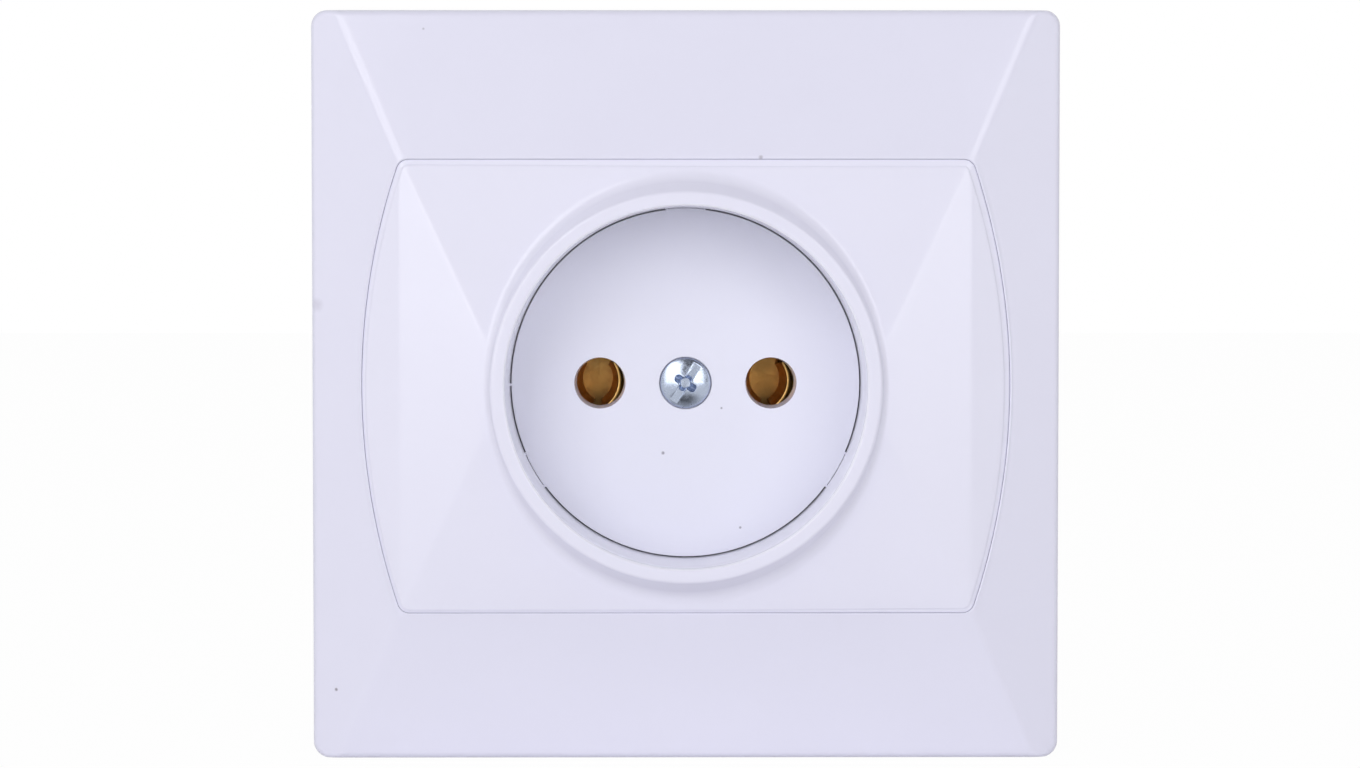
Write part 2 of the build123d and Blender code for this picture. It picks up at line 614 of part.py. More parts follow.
def make_claw():
    """Right spreader claw: forked foot, slotted leg and a toothed toe bent outwards."""
    toe_y = CLAW_Y + CLAW_LEG
    path = FilletPolyline(
        (CLAW_X + CLAW_FOOT, CLAW_Y),
        (CLAW_X, CLAW_Y),
        (CLAW_X, toe_y),
        (CLAW_X + CLAW_TOE, toe_y),
        radius=CLAW_BEND_R,
    )
    claw = extrude(trace(path, CLAW_T), amount=CLAW_W / 2, both=True)
    half = CLAW_WINDOW_W / 2
    fork_from = CLAW_SCREW_X - CLAW_SCREW_R - HOLE_GAP
    fork_to = CLAW_X + 2 * CLAW_FOOT
    claw -= box_between((fork_from, CLAW_Y - CLAW_T, -half), (fork_to, CLAW_Y + CLAW_T, half))
    window_y = CLAW_Y + CLAW_WINDOW_FROM
    window_back = window_y + CLAW_WINDOW_L
    claw -= box_between((CLAW_X - CLAW_T, window_y, -half), (CLAW_X + CLAW_T, window_back, half))
    toe_x = CLAW_X + CLAW_TOE
    pitch = CLAW_W / TOOTH_COUNT
    for n in range(TOOTH_COUNT + 1):
        z = -CLAW_W / 2 + n * pitch
        notch = Polyline((toe_x, z - pitch / 2), (toe_x, z + pitch / 2), (toe_x - TOOTH_H, z), close=True)
        claw -= prism(make_face(notch), toe_y - CLAW_T, toe_y + CLAW_T)
    axis = Plane.XY * Pos(CLAW_X, CLAW_Y)
    claw += extrude(axis * Circle(CLAW_KNUCKLE_R), amount=CLAW_W / 2, both=True)
    return claw + extrude(axis * Circle(TRUNNION_R), amount=CLAW_W / 2 + TRUNNION_L, both=True)


def barrel_y():
    """Depth of the barrel nut's centre behind the claw's foot."""
    return CLAW_Y + CLAW_T / 2 + BARREL_GAP + BARREL_R


def make_claw_nut():
    """Right barrel nut that draws the claw's foot forwards."""
    barrel = extrude(Pos(CLAW_SCREW_X, barrel_y()) * Circle(BARREL_R), amount=BARREL_L / 2, both=True)
    hole_front = barrel_y() - BARREL_R
    return barrel - rod(CLAW_SCREW_R + THREAD_GAP, hole_front, hole_front + 2 * BARREL_R, CLAW_SCREW_X)


def make_claw_screw():
    """Right claw screw, its slotted head on the front of the support plate."""
    tip = barrel_y() + BARREL_R + CLAW_SCREW_TIP
    top = -STEEL_T - CLAW_HEAD_H
    screw = rod(CLAW_SCREW_R, -STEEL_T, tip) + round_head(CLAW_HEAD_R, top, -STEEL_T, True)
    slot = box_between((-SLOT_W / 2, top, -CLAW_HEAD_R), (SLOT_W / 2, top + SLOT_D, CLAW_HEAD_R))
    return Pos(CLAW_SCREW_X, 0, 0) * (screw - slot)


def make_nodes():
    """Every piece of the socket by name."""
    nodes = {
        "outer_frame": make_frame(),
        "cover_plate": make_cover(),
        "socket_face": make_face_disc(),
        "cover_screw": make_cover_screw(),
        "cover_nut": make_cover_nut(),
        "support_plate": make_support_plate(),
        "base_cover": make_base_cover(),
        "contact_base": make_base(),
        "base_rivets": make_rivets(),
        "contact_left": make_contact(-PIN_X),
        "contact_right": make_contact(PIN_X),
    }
    for place, (x, z) in terminal_places().items():
        nodes[f"terminal_clamp_{place}"] = make_terminal_clamp(x, z)
        nodes[f"terminal_screw_{place}"] = make_terminal_screw(x, z)
    for name, make in (("claw", make_claw), ("claw_nut", make_claw_nut), ("claw_screw", make_claw_screw)):
        right = make()
        nodes[f"{name}_right"] = right
        nodes[f"{name}_left"] = mirror(right, about=Plane.YZ)
    return nodes


os.makedirs("parts", exist_ok=True)
for name, shape in make_nodes().items():
    export_step(shape, f"parts/{name}.step")
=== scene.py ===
"""Dressed model of a two-pole wall socket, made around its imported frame.

Sizes in the classes are millimetres, as on a drawing, and become metres where a mesh is made.
X runs to the right, Z up and Y into the wall. A height above the wall surface lies at negative Y.
"""

import logging
import math
from dataclasses import dataclass
from enum import Enum
from functools import cached_property, partial
from typing import Callable

import bmesh
import bpy
import numpy as np
from mathutils import Matrix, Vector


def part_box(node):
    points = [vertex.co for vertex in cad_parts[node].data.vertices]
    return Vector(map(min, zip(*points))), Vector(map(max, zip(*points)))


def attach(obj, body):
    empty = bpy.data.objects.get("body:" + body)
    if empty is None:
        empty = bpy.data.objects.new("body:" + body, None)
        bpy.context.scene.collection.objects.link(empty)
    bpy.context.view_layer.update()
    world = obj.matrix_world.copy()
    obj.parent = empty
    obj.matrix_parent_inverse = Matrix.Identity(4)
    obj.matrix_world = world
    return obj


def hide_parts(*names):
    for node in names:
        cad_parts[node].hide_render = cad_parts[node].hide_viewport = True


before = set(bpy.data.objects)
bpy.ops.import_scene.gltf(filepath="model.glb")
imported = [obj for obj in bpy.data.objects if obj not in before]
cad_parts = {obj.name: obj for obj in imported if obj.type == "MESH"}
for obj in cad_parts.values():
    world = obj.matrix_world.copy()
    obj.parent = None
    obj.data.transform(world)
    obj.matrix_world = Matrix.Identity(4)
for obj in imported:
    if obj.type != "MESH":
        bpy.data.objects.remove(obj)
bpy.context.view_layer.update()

MM = 0.001
QUARTER_TURN = math.pi / 2
NOISE_SPAN = (0.3, 0.7)  # where most of a noise lies
WHITE = (1.0, 1.0, 1.0, 1.0)
MERGE, FLAT = 0.0005, 0.00005  # lengths below which points are one and an edge is dissolved
SHARP_DEG = 32.0  # angle from which an edge stays sharp
log = logging.getLogger("socket")

Colour = tuple[float, float, float]
Point = tuple[float, float, float]
Pair = tuple[float, float]
Curve = np.ndarray
Measure = np.ndarray | float
Surface = Callable[[Curve, Curve], Curve]
Material = bpy.types.Material
Mesh = bpy.types.Mesh
Object = bpy.types.Object
Socket = bpy.types.NodeSocket


class Body(Enum):
    """Bodies of the frame that pieces ride on."""

    SOCKET = "socket"
    CLAW_LEFT = "claw_left"
    CLAW_RIGHT = "claw_right"
    NUT_LEFT = "claw_nut_left"
    NUT_RIGHT = "claw_nut_right"

    @classmethod
    def of(cls, node: str) -> "Body":
        """Body of a node: its own where it moves, and otherwise the socket."""
        return next((body for body in cls if body.value == node), cls.SOCKET)


class Slot(Enum):
    """Material slots of the record."""

    FRAME = "frame_white"
    COVER = "cover_white"
    FLOOR = "face_white"
    SCREW = "screw_steel"
    PLATE = "plate_steel"
    CLAW = "claw_steel"
    BRASS = "brass"
    BASE = "base_plastic"


class Side(Enum):
    """Left and right of the socket, as the nodes spell them."""

    LEFT = "left"
    RIGHT = "right"


class Level(Enum):
    """Upper and lower end of the socket, as the nodes spell them."""

    TOP = "top"
    BOTTOM = "bottom"


@dataclass(frozen=True)
class Grain:
    """A noise: size of its patches, octaves of finer noise and stretch along each axis."""

    size: float
    detail: float
    stretch: Point = (1.0, 1.0, 1.0)


@dataclass(frozen=True)
class SpeckOrPaintedLight:
    """A spot of another colour, its coordinates stretched along each axis: a speck of dirt, a nick, a scuff or a
    patch of painted light.
    """

    place: Point
    radius: float
    colour: Colour = (0.12, 0.11, 0.15)
    amount: float = 0.8
    soft: float = 0.6
    ragged: float = 0.6
    detail: float = 2.0
    stretch: Point = (1.0, 1.0, 1.0)


class NodeBoard:
    """Nodes of one tree, with short calls to add and join them."""

    def __init__(self, tree: bpy.types.NodeTree) -> None:
        """Empty a tree for new nodes."""
        self.tree = tree
        tree.nodes.clear()

    def add(self, kind: str, **settings: object) -> bpy.types.Node:
        """Add a node and set its properties.

        Args:
            kind: Node type of Blender.
            settings: Properties of the node.

        Returns:
            The new node.
        """
        node = self.tree.nodes.new(kind)
        for name, value in settings.items():
            setattr(node, name, value)
        return node

    def feed(self, entry: Socket, value: object) -> None:
        """Link an output to an input, or set the input to a plain value.

        Args:
            entry: The input.
            value: The output or the value.
        """
        if isinstance(value, Socket):
            self.tree.links.new(value, entry)
        else:
            entry.default_value = value

    def made(self, kind: str, output: str, entries: dict[str | int, object], **settings: object) -> Socket:
        """Add a node and fill its inputs.

        Args:
            kind: Node type of Blender.
            output: Name of the output that is wanted.
            entries: Values or outputs for the inputs, by name or number.
            settings: Properties of the node.

        Returns:
            The output.
        """
        node = self.add(kind, **settings)
        for name, value in entries.items():
            self.feed(node.inputs[name], value)
        return node.outputs[output]

    def combined(self, operation: str, first: Socket, second: Socket | float) -> Socket:
        """Combine two values by an operation of the Math node."""
        return self.made("ShaderNodeMath", "Value", {0: first, 1: second}, operation=operation)

    def vector(self, operation: str, output: str, *entries: object) -> Socket:
        """Combine vectors by an operation of the Vector Math node."""
        return self.made("ShaderNodeVectorMath", output, dict(enumerate(entries)), operation=operation)

    def ranged(
        self, value: Socket, low: Socket | float, high: Socket | float, span: Pair = NOISE_SPAN
    ) -> Socket:
        """Map a value from a span onto the range from low to high, and keep it there."""
        entries = {"Value": value, "From Min": span[0], "From Max": span[1], "To Min": low, "To Max": high}
        return self.made("ShaderNodeMapRange", "Result", entries)

    def seen(self) -> Socket:
        """One for what the camera sees, straight, mirrored or through glass, and nothing for light.

        Returns:
            The value, 0 or 1.
        """
        path = self.add("ShaderNodeLightPath").outputs
        mirrored = self.combined("MAXIMUM", path["Is Camera Ray"], path["Is Glossy Ray"])
        return self.combined("MAXIMUM", mirrored, path["Is Transmission Ray"])

    def bright(self, mirrored: Socket) -> Socket:
        """White to the camera, and a given level where something mirrors it."""
        straight = self.add("ShaderNodeLightPath").outputs["Is Camera Ray"]
        return self.combined("MAXIMUM", straight, mirrored)


class FinishBoard(NodeBoard):
    """Nodes of one finish around a principled shader."""

    def __init__(self, name: str) -> None:
        """Start a material.

        Args:
            name: Name of the material.
        """
        self.material = bpy.data.materials.new(name)
        self.material.use_nodes = True
        super().__init__(self.material.node_tree)
        self.shader = self.add("ShaderNodeBsdfPrincipled")
        self.feed(self.add("ShaderNodeOutputMaterial").inputs["Surface"], self.shader.outputs["BSDF"])
        self.place = self.add("ShaderNodeTexCoord").outputs["Object"]

    def set(self, name: str, value: object) -> None:
        """Fill an input of the shader."""
        self.feed(self.shader.inputs[name], value)

    def stretched(self, scale: Point) -> Socket:
        """Object coordinates scaled along each axis."""
        return self.made("ShaderNodeMapping", "Vector", {"Vector": self.place, "Scale": scale})

    def noise(self, grain: Grain) -> Socket:
        """Value of a noise, from 0 to 1."""
        entries = {"Vector": self.stretched(grain.stretch), "Scale": 1.0 / (grain.size * MM), "Detail": grain.detail}
        return self.made("ShaderNodeTexNoise", "Fac", entries)

    def blend(self, factor: Socket, first: object, second: object) -> Socket:
        """Mix two colours, each a colour or an output.

        Args:
            factor: Share of the second colour.
            first: Colour at factor 0.
            second: Colour at factor 1.

        Returns:
            The mixed colour.
        """
        node = self.add("ShaderNodeMix", data_type="RGBA")
        self.feed(node.inputs["Factor"], factor)
        ends = [entry for entry in node.inputs if entry.type == "RGBA"]
        for entry, colour in zip(ends, (first, second)):
            self.feed(entry, (*colour, 1.0) if isinstance(colour, tuple) else colour)
        return next(output for output in node.outputs if output.type == "RGBA")

    def speckled(self, colour: Socket, speck: SpeckOrPaintedLight) -> Socket:
        """Lay a speck of dirt, or a patch of painted light, on a colour.

        Args:
            colour: Colour without the speck.
            speck: The speck of dirt, or the patch of painted light.

        Returns:
            Colour with the speck.
        """
        centre = tuple(v * MM for v in speck.place)
        gap = self.vector("DISTANCE", "Value", self.stretched(speck.stretch), centre)
        near = self.ranged(gap, 1.0, 0.0, (speck.radius * (1.0 - speck.soft) * MM, speck.radius * MM))
        patchy = self.noise(Grain(speck.radius, speck.detail))
        amount = self.ranged(patchy, speck.amount * speck.ragged, speck.amount)
        return self.blend(self.combined("MULTIPLY", near, amount), colour, speck.colour)

    def crown(self, pull: float, limits: Pair) -> None:
        """Shade domes that face the front as if they were flatter.

        Args:
            pull: Length of the front direction that is added to the normal.
            limits: Parts of the normal along Y between which the pull fades.
        """
        normal = self.add("ShaderNodeNewGeometry").outputs["Normal"]
        facing = self.made("ShaderNodeSeparateXYZ", "Y", {"Vector": normal})
        front = self.made("ShaderNodeCombineXYZ", "Vector", {"Y": self.ranged(facing, -pull, 0.0, limits)})
        pulled = self.vector("ADD", "Vector", normal, front)
        self.set("Normal", self.vector("NORMALIZE", "Vector", pulled))

    def bump(self, height: Socket, depth: float) -> None:
        """Roughen the surface by a height, on top of what is there already.

        Args:
            height: Height from 0 to 1.
            depth: Depth that the height stands for.
        """
        entries = {"Strength": 1.0, "Distance": depth * MM, "Height": height}
        normal = self.shader.inputs["Normal"]
        if normal.is_linked:
            entries["Normal"] = normal.links[0].from_socket
        self.set("Normal", self.made("ShaderNodeBump", "Normal", entries))


@dataclass(frozen=True)
class Finish:
    """A finish with cloudy colour, spots of dirt and patches of painted light, uneven polish and a fine relief."""

    name: str
    slot: Slot
    colour: Colour
    cloud: Colour
    clouds: Grain
    roughness: Pair
    polish: Grain
    relief: Grain
    depth: float
    cloud_span: Pair = NOISE_SPAN
    metallic: float = 1.0
    # Spots of dirt, nicks and scuffs, and patches of painted light such as the lighter well of the cover.
    specks_and_painted_light: tuple[SpeckOrPaintedLight, ...] = ()
    crown_pull: float = 0.0
    crown_limits: Pair = (-0.70, -0.62)

    @cached_property
    def material(self) -> Material:
        """Make the material when it is first asked for.

        Returns:
            The finished material.
        """
        board = FinishBoard(self.name)
        board.set("Metallic", self.metallic)
        if self.crown_pull:
            board.crown(self.crown_pull, self.crown_limits)
        patch = board.ranged(board.noise(self.clouds), 0.0, 1.0, self.cloud_span)
        colour = board.blend(patch, self.colour, self.cloud)
        # Lay the spots of dirt, nicks and scuffs and the patches of painted light on the colour.
        for speck in self.specks_and_painted_light:
            colour = board.speckled(colour, speck)
        board.set("Base Color", colour)
        board.set("Roughness", board.ranged(board.noise(self.polish), *self.roughness))
        board.bump(board.noise(self.relief), self.depth)
        return board.material


@dataclass(frozen=True)
class WhiteMoulding(Finish):
    """Glossy white plastic as it comes out of the mould, with the spots of handling and, where given, patches of
    painted light.
    """

    clouds: Grain = Grain(14.0, 2.0)
    roughness: Pair = (0.15, 0.19)
    polish: Grain = Grain(12.0, 1.0)
    relief: Grain = Grain(9.0, 1.0)
    depth: float = 0.004
    metallic: float = 0.0


FINE = Grain(0.35, 3.0)
ROLLED = Grain(0.35, 3.0, (0.06, 1.0, 1.0))
STAMPED = Grain(0.3, 2.0, (1.0, 0.12, 1.0))
MARK = (0.25, 0.22, 0.28)
# Radius and soft edge of the painted light on the cover: inside it the cover is coloured lighter, standing in for
# light bounced round the well.
PAINTED_WELL_LIGHT_R, PAINTED_WELL_LIGHT_SOFT = 19.9, 0.2

FRAME_FINISH = WhiteMoulding(
    "frame_moulding", Slot.FRAME, (0.815, 0.807, 0.953), (0.807, 0.799, 0.945),
    specks_and_painted_light=(
        SpeckOrPaintedLight((-28.6, -4.8, 38.9), 0.22),
        SpeckOrPaintedLight((-38.4, -4.5, -33.4), 0.24, (0.16, 0.13, 0.16)),
        SpeckOrPaintedLight((-40.4, -3.6, 8.8), 0.9, (0.36, 0.33, 0.42), 0.35, 0.9),
        SpeckOrPaintedLight((8.1, -7.4, 24.9), 0.32, MARK, 0.6),
    ),
)
COVER_FINISH = WhiteMoulding(
    "cover_moulding", Slot.COVER, (0.842, 0.834, 0.976), (0.834, 0.826, 0.968),
    specks_and_painted_light=(
        # Painted light: the wall of the well, the ledge behind it and the inner edge of the ring are coloured lighter
        # than the plate, standing in for light bounced round the well.
        SpeckOrPaintedLight(
            (0.0, 0.0, 0.0), PAINTED_WELL_LIGHT_R, (0.905, 0.905, 0.99), 1.0, PAINTED_WELL_LIGHT_SOFT / PAINTED_WELL_LIGHT_R,
            ragged=1.0, stretch=(1.0, 0.0, 1.0),
        ),
        SpeckOrPaintedLight((-31.6, -7.2, 24.1), 0.35, MARK, 0.6),
    ),
)
FLOOR_FINISH = WhiteMoulding(
    "floor_moulding", Slot.FLOOR, (0.846, 0.846, 0.964), (0.838, 0.838, 0.957),
    specks_and_painted_light=(
        SpeckOrPaintedLight((-2.5, 2.03, -7.8), 0.24),
        SpeckOrPaintedLight((4.0, 2.03, -2.8), 0.16),
        SpeckOrPaintedLight((6.1, 2.03, -16.1), 0.18),
    ),
)
SCREW_FINISH = Finish(
    "bright_zinc", Slot.SCREW, (0.52, 0.58, 0.71), (0.46, 0.52, 0.65),
    Grain(2.0, 3.0), (0.165, 0.297), FINE, FINE, 0.0004, crown_pull=0.7,
)
PLATE_FINISH = Finish(
    "zinc_sheet", Slot.PLATE, (0.62, 0.63, 0.64), (0.50, 0.51, 0.53),
    Grain(4.0, 3.0), (0.255, 0.459), ROLLED, ROLLED, 0.002,
)
CLAW_FINISH = Finish(
    "passivated_zinc", Slot.CLAW, (0.66, 0.60, 0.42), (0.55, 0.55, 0.50),
    Grain(2.0, 3.0), (0.24, 0.432), FINE, FINE, 0.002,
)
BRASS_FINISH = Finish(
    "stamped_brass", Slot.BRASS, (0.90, 0.55, 0.19), (0.77, 0.46, 0.155),
    Grain(2.2, 4.0), (0.33, 0.46), STAMPED, STAMPED, 0.0004, cloud_span=(0.42, 0.72),
)
BASE_FINISH = Finish(
    "dark_insulation", Slot.BASE, (0.15, 0.100, 0.072), (0.20, 0.138, 0.100),
    Grain(1.1, 5.0), (0.38, 0.56), Grain(2.5, 3.0), Grain(0.3, 3.0), 0.006, metallic=0.0,
)


@dataclass(frozen=True)
class Stations:
    """Directions around the middle of the socket at which outlines are sampled.

    A span is a start, an end and a step in degrees within one quarter turn.
    """

    spans: tuple[tuple[float, float, float], ...]
    step: float = 1.0
    digits: int = 4

    def angles(self) -> Curve:
        """Make the directions for the whole turn.

        Returns:
            Angles in radians, rising from 0 and short of a full turn.
        """
        quarter = list(np.arange(0.0, 90.0, self.step))
        for start, end, step in self.spans:
            quarter = [a for a in quarter if not start < a < end]
            quarter += list(np.arange(start, end, step))
        whole = [a for q in quarter for a in (q, 180.0 - q, 180.0 + q, 360.0 - q)]
        return np.radians(np.unique(np.round(np.mod(whole, 360.0), self.digits)))


def soft_max(first: Curve, second: Curve, width: float) -> Curve:
    """Larger of two values, rounded where they differ by less than a width."""
    near = np.maximum(width - np.abs(first - second), 0.0)
    return np.maximum(first, second) + near**2 / (4.0 * width)


def grade(degrees: float) -> float:
    """Fall over run of a slope."""
    return math.tan(math.radians(degrees))


@dataclass(frozen=True)
class Slopes:
    """The sloped faces of the frame and of the cover plate, which meet at the shoulder."""

    shoulder_w: float = 62.2
    shoulder_h: float = 49.4
    shoulder_front: float = 7.5
    frame_lr: float = 22.6
    frame_tb: float = 10.2
    cover_lr: float = 11.3
    cover_tb: float = 5.4
    frame_hip: float = 0.23
    cover_hip: float = 0.06
    crease: float = 0.05

    def past(self, x: Curve, z: Curve) -> tuple[Curve, Curve]:
        """Distances outside the shoulder, at the sides and at the ends."""
        return np.abs(x) - self.shoulder_w / 2, np.abs(z) - self.shoulder_h / 2

    def frame_height(self, x: Curve, z: Curve) -> Curve:
        """Front height of the frame above the wall surface, at places along X and Z."""
        side, end = self.past(x, z)
        return self.shoulder_front - soft_max(side * grade(self.frame_lr), end * grade(self.frame_tb), self.frame_hip)

    def cover_height(self, x: Curve, z: Curve) -> Curve:
        """Front height of the cover plate, without its ring.

        Args:
            x: Places along X.
            z: Places along Z.

        Returns:
            Height above the wall surface at each place.
        """
        side, end = self.past(x, z)
        fall_lr = soft_max(side * grade(self.cover_lr), side * grade(self.frame_lr), self.crease)
        return self.shoulder_front - soft_max(fall_lr, end * grade(self.cover_tb), self.cover_hip)


def far_hit(cos: Curve, sin: Curve, x: Measure, z: Measure, radius: Measure) -> Curve:
    """Distance along each direction to the far side of a circle, or to its nearest pass if missed."""
    along = cos * x + sin * z
    return along + np.sqrt(np.maximum(along**2 - (x**2 + z**2 - radius**2), 0.0))


@dataclass(frozen=True)
class SeamOutline:
    """Outline of the cover plate: straight at top and bottom, bowed at the sides."""

    slopes: Slopes
    bow: float = 4.3
    corner: float = 1.4
    least_corner: float = 0.05
    least_sine: float = 1e-9

    def radius(self, angles: Curve, grow: Measure) -> Curve:
        """Distance of the outline from the middle.

        Args:
            angles: Directions.
            grow: How far the outline is moved outwards.

        Returns:
            The distance in each direction.
        """
        grow = np.broadcast_to(np.asarray(grow, float), angles.shape)
        cos, sin = np.abs(np.cos(angles)), np.maximum(np.abs(np.sin(angles)), self.least_sine)
        half_w, half_h = self.slopes.shoulder_w / 2, self.slopes.shoulder_h / 2
        arc = (half_h**2 + self.bow**2) / (2 * self.bow)
        arc_x = half_w + self.bow - arc
        corner = np.maximum(self.corner + grow, self.least_corner)
        core_z = half_h + grow - corner
        core_x = arc_x + np.sqrt((arc + grow - corner) ** 2 - core_z**2)
        on_end = (half_h + grow) / sin
        on_side = far_hit(cos, sin, arc_x, 0.0, arc + grow)
        on_corner = far_hit(cos, sin, core_x, core_z, corner)
        at_end = on_end * cos <= core_x
        at_side = (on_side * sin) * (core_x - arc_x) <= (on_side * cos - arc_x) * core_z
        return np.where(at_end, on_end, np.where(at_side, on_side, on_corner))


@dataclass(frozen=True)
class SquareOutline:
    """Square outline of the frame with rounded corners."""

    side: float = 82.0
    corner: float = 1.7
    least_corner: float = 0.05

    def radius(self, angles: Curve, inset: Measure) -> Curve:
        """Distance of the outline from the middle.

        Args:
            angles: Directions.
            inset: How far the outline is moved inwards.

        Returns:
            The distance in each direction.
        """
        inset = np.broadcast_to(np.asarray(inset, float), angles.shape)
        cos, sin = np.abs(np.cos(angles)), np.abs(np.sin(angles))
        long, short = np.maximum(cos, sin), np.minimum(cos, sin)
        half = self.side / 2 - inset
        corner = np.maximum(self.corner - inset, self.least_corner)
        on_side = half / long
        on_corner = far_hit(long, short, half - corner, half - corner, corner)
        return np.where(on_side * short <= half - corner, on_side, on_corner)


class LoopMesh:
    """Closed mesh made of loops around the middle of the socket."""

    def __init__(self, angles: Curve) -> None:
        """Start without loops, with stations in given directions."""
        self.angles = angles
        self.loops: list[tuple[Curve, Curve]] = []

    def spread(self, radius: Measure) -> tuple[Curve, Curve]:
        """Places along X and Z at a radius in each direction."""
        return radius * np.cos(self.angles), radius * np.sin(self.angles)

    def add(self, radius: Measure, height: Measure) -> None:
        """Add a loop, its radius and front height one for all stations or one for each."""
        shape = self.angles.shape
        self.loops.append((np.broadcast_to(radius, shape), np.broadcast_to(height, shape)))

    def lay(self, radius: Measure, surface: Surface, drop: Measure = 0.0) -> None:
        """Add a loop that lies on a surface, or below it by a drop."""
        self.add(radius, surface(*self.spread(radius)) - drop)

    def fill(self, ends: tuple[Measure, Measure], shares: Curve, surface: Surface, drop: float = 0.0) -> None:
        """Add loops at shares of the way between two radii, on a surface or below it by a drop."""
        for share in shares:
            self.lay(ends[0] + (ends[1] - ends[0]) * share, surface, drop)

    def arc(self, centre: tuple[Measure, Measure], size: Measure, turns: Curve) -> None:
        """Add loops along an arc around a centre, which is a radius and a front height."""
        for turn in turns:
            self.add(centre[0] + size * np.cos(turn), centre[1] + size * np.sin(turn))

    def mesh(self, name: str) -> Mesh:
        """Make the mesh.

        Args:
            name: Name of the mesh.

        Returns:
            A closed, smooth mesh with its faces outwards.
        """
        points = []
        for radius, height in self.loops:
            x, z = self.spread(radius)
            points.append(np.column_stack((x, -height, z)))
        rows, around = np.arange(len(self.loops)), np.arange(len(self.angles))
        row, nxt = rows[:, None] * around.size, np.roll(rows, -1)[:, None] * around.size
        here, there = around[None, :], np.roll(around, -1)[None, :]
        faces = np.stack((row + here, row + there, nxt + there, nxt + here), axis=-1).reshape(-1, 4)
        mesh = bpy.data.meshes.new(name)
        mesh.from_pydata((np.concatenate(points) * MM).tolist(), [], faces.tolist())
        return smooth(outward(mesh))


def outward(mesh: Mesh) -> Mesh:
    """Merge the doubles of a closed mesh and turn its faces outwards.

    Args:
        mesh: The mesh, which is changed.

    Returns:
        The same mesh.
    """
    work = bmesh.new()
    work.from_mesh(mesh)
    bmesh.ops.remove_doubles(work, verts=work.verts, dist=MERGE * MM)
    bmesh.ops.dissolve_degenerate(work, edges=work.edges, dist=FLAT * MM)
    bmesh.ops.recalc_face_normals(work, faces=work.faces)
    work.to_mesh(mesh)
    work.free()
    return mesh


def smooth(mesh: Mesh) -> Mesh:
    """Shade a mesh smooth, apart from its sharp edges.

    Args:
        mesh: The mesh, which is changed.

    Returns:
        The same mesh.
    """
    mesh.polygons.foreach_set("use_smooth", [True] * len(mesh.polygons))
    mesh.set_sharp_from_angle(angle=math.radians(SHARP_DEG))
    return mesh


def linked(name: str, data: bpy.types.ID) -> Object:
    """Make an object and put it in the scene.

    Args:
        name: Name of the object.
        data: Its mesh, lamp or camera.

    Returns:
        The new object.
    """
    thing = bpy.data.objects.new(name, data)
    bpy.context.scene.collection.objects.link(thing)
    return thing


def place_piece(node: str, kind: str, mesh: Mesh, finish: Finish) -> Object:
    """Put a finished mesh in the scene in place of a node.

    Args:
        node: Node that it stands for.
        kind: Word that the piece's name adds to that of the node.
        mesh: Its mesh, in place.
        finish: Its finish.

    Returns:
        The new piece.
    """
    mesh.materials.clear()
    mesh.materials.append(finish.material)
    piece = linked(f"{node}_{kind}", mesh)
    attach(piece, Body.of(node).value)
    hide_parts(node)
    return piece


def merged_copy(node: str) -> Mesh:
    """Copy the mesh of a node with its triangles joined.

    Args:
        node: Name of the node.

    Returns:
        The joined copy.
    """
    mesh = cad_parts[node].data.copy()
    mesh.name = node + "_copy"
    return outward(mesh)


def baked(mesh: Mesh, modify: Callable[[Object], None]) -> Mesh:
    """Run modifiers on a mesh and keep their result as a plain mesh.

    Args:
        mesh: The mesh, which is left as it is.
        modify: Adds the modifiers to an object with that mesh.

    Returns:
        The new mesh.
    """
    work = linked("work", mesh)
    modify(work)
    graph = bpy.context.evaluated_depsgraph_get()
    result = bpy.data.meshes.new_from_object(work.evaluated_get(graph))
    bpy.data.objects.remove(work)
    return result


@dataclass(frozen=True)
class EdgeRounding:
    """Rounding of the sharp edges of a piece."""

    width: float
    segments: int = 2
    limit_deg: float = 40.0
    flat_deg: float = 0.4
    weight: int = 100

    def bevel(self, work: Object) -> None:
        """Join flat faces and bevel the edges between the others.

        Args:
            work: Object that takes the modifiers.
        """
        flat = work.modifiers.new("flat", "DECIMATE")
        flat.decimate_type = "DISSOLVE"
        flat.angle_limit = math.radians(self.flat_deg)
        bevel = work.modifiers.new("edges", "BEVEL")
        bevel.width = self.width * MM
        bevel.segments = self.segments
        bevel.limit_method = "ANGLE"
        bevel.angle_limit = math.radians(self.limit_deg)
        bevel.use_clamp_overlap = True

    def even(self, work: Object) -> None:
        """Let the large faces of an object set the normals at its rounded edges.

        Args:
            work: Object that takes the modifier.
        """
        even = work.modifiers.new("even", "WEIGHTED_NORMAL")
        even.weight = self.weight
        even.keep_sharp = True

    def ease(self, mesh: Mesh) -> Mesh:
        """Round the sharp edges of a mesh, which is left as it is, and shade the copy smooth."""
        return baked(smooth(baked(mesh, self.bevel)), self.even)


def dressed(node: str, finish: Finish, ease: float) -> Object:
    """Stand a smooth copy of a node in its place, its edges rounded by a width."""
    return place_piece(node, "dressed", EdgeRounding(ease).ease(merged_copy(node)), finish)


@dataclass(frozen=True)
class Groove:
    """Rounded edge beside the seam, which starts partway round."""

    size: float = 0.24
    start_deg: float = 42.0
    loops: int = 5

    def steps(self) -> list[Pair]:
        """Loops of the edge, from the seam to the face.

        Returns:
            Run from the seam and depth below the face of each loop.
        """
        first = math.radians(self.start_deg)
        turns = np.linspace(first, QUARTER_TURN, self.loops)
        return [(self.size * (math.cos(first) - math.cos(t)), self.size * (1 - math.sin(t))) for t in turns]


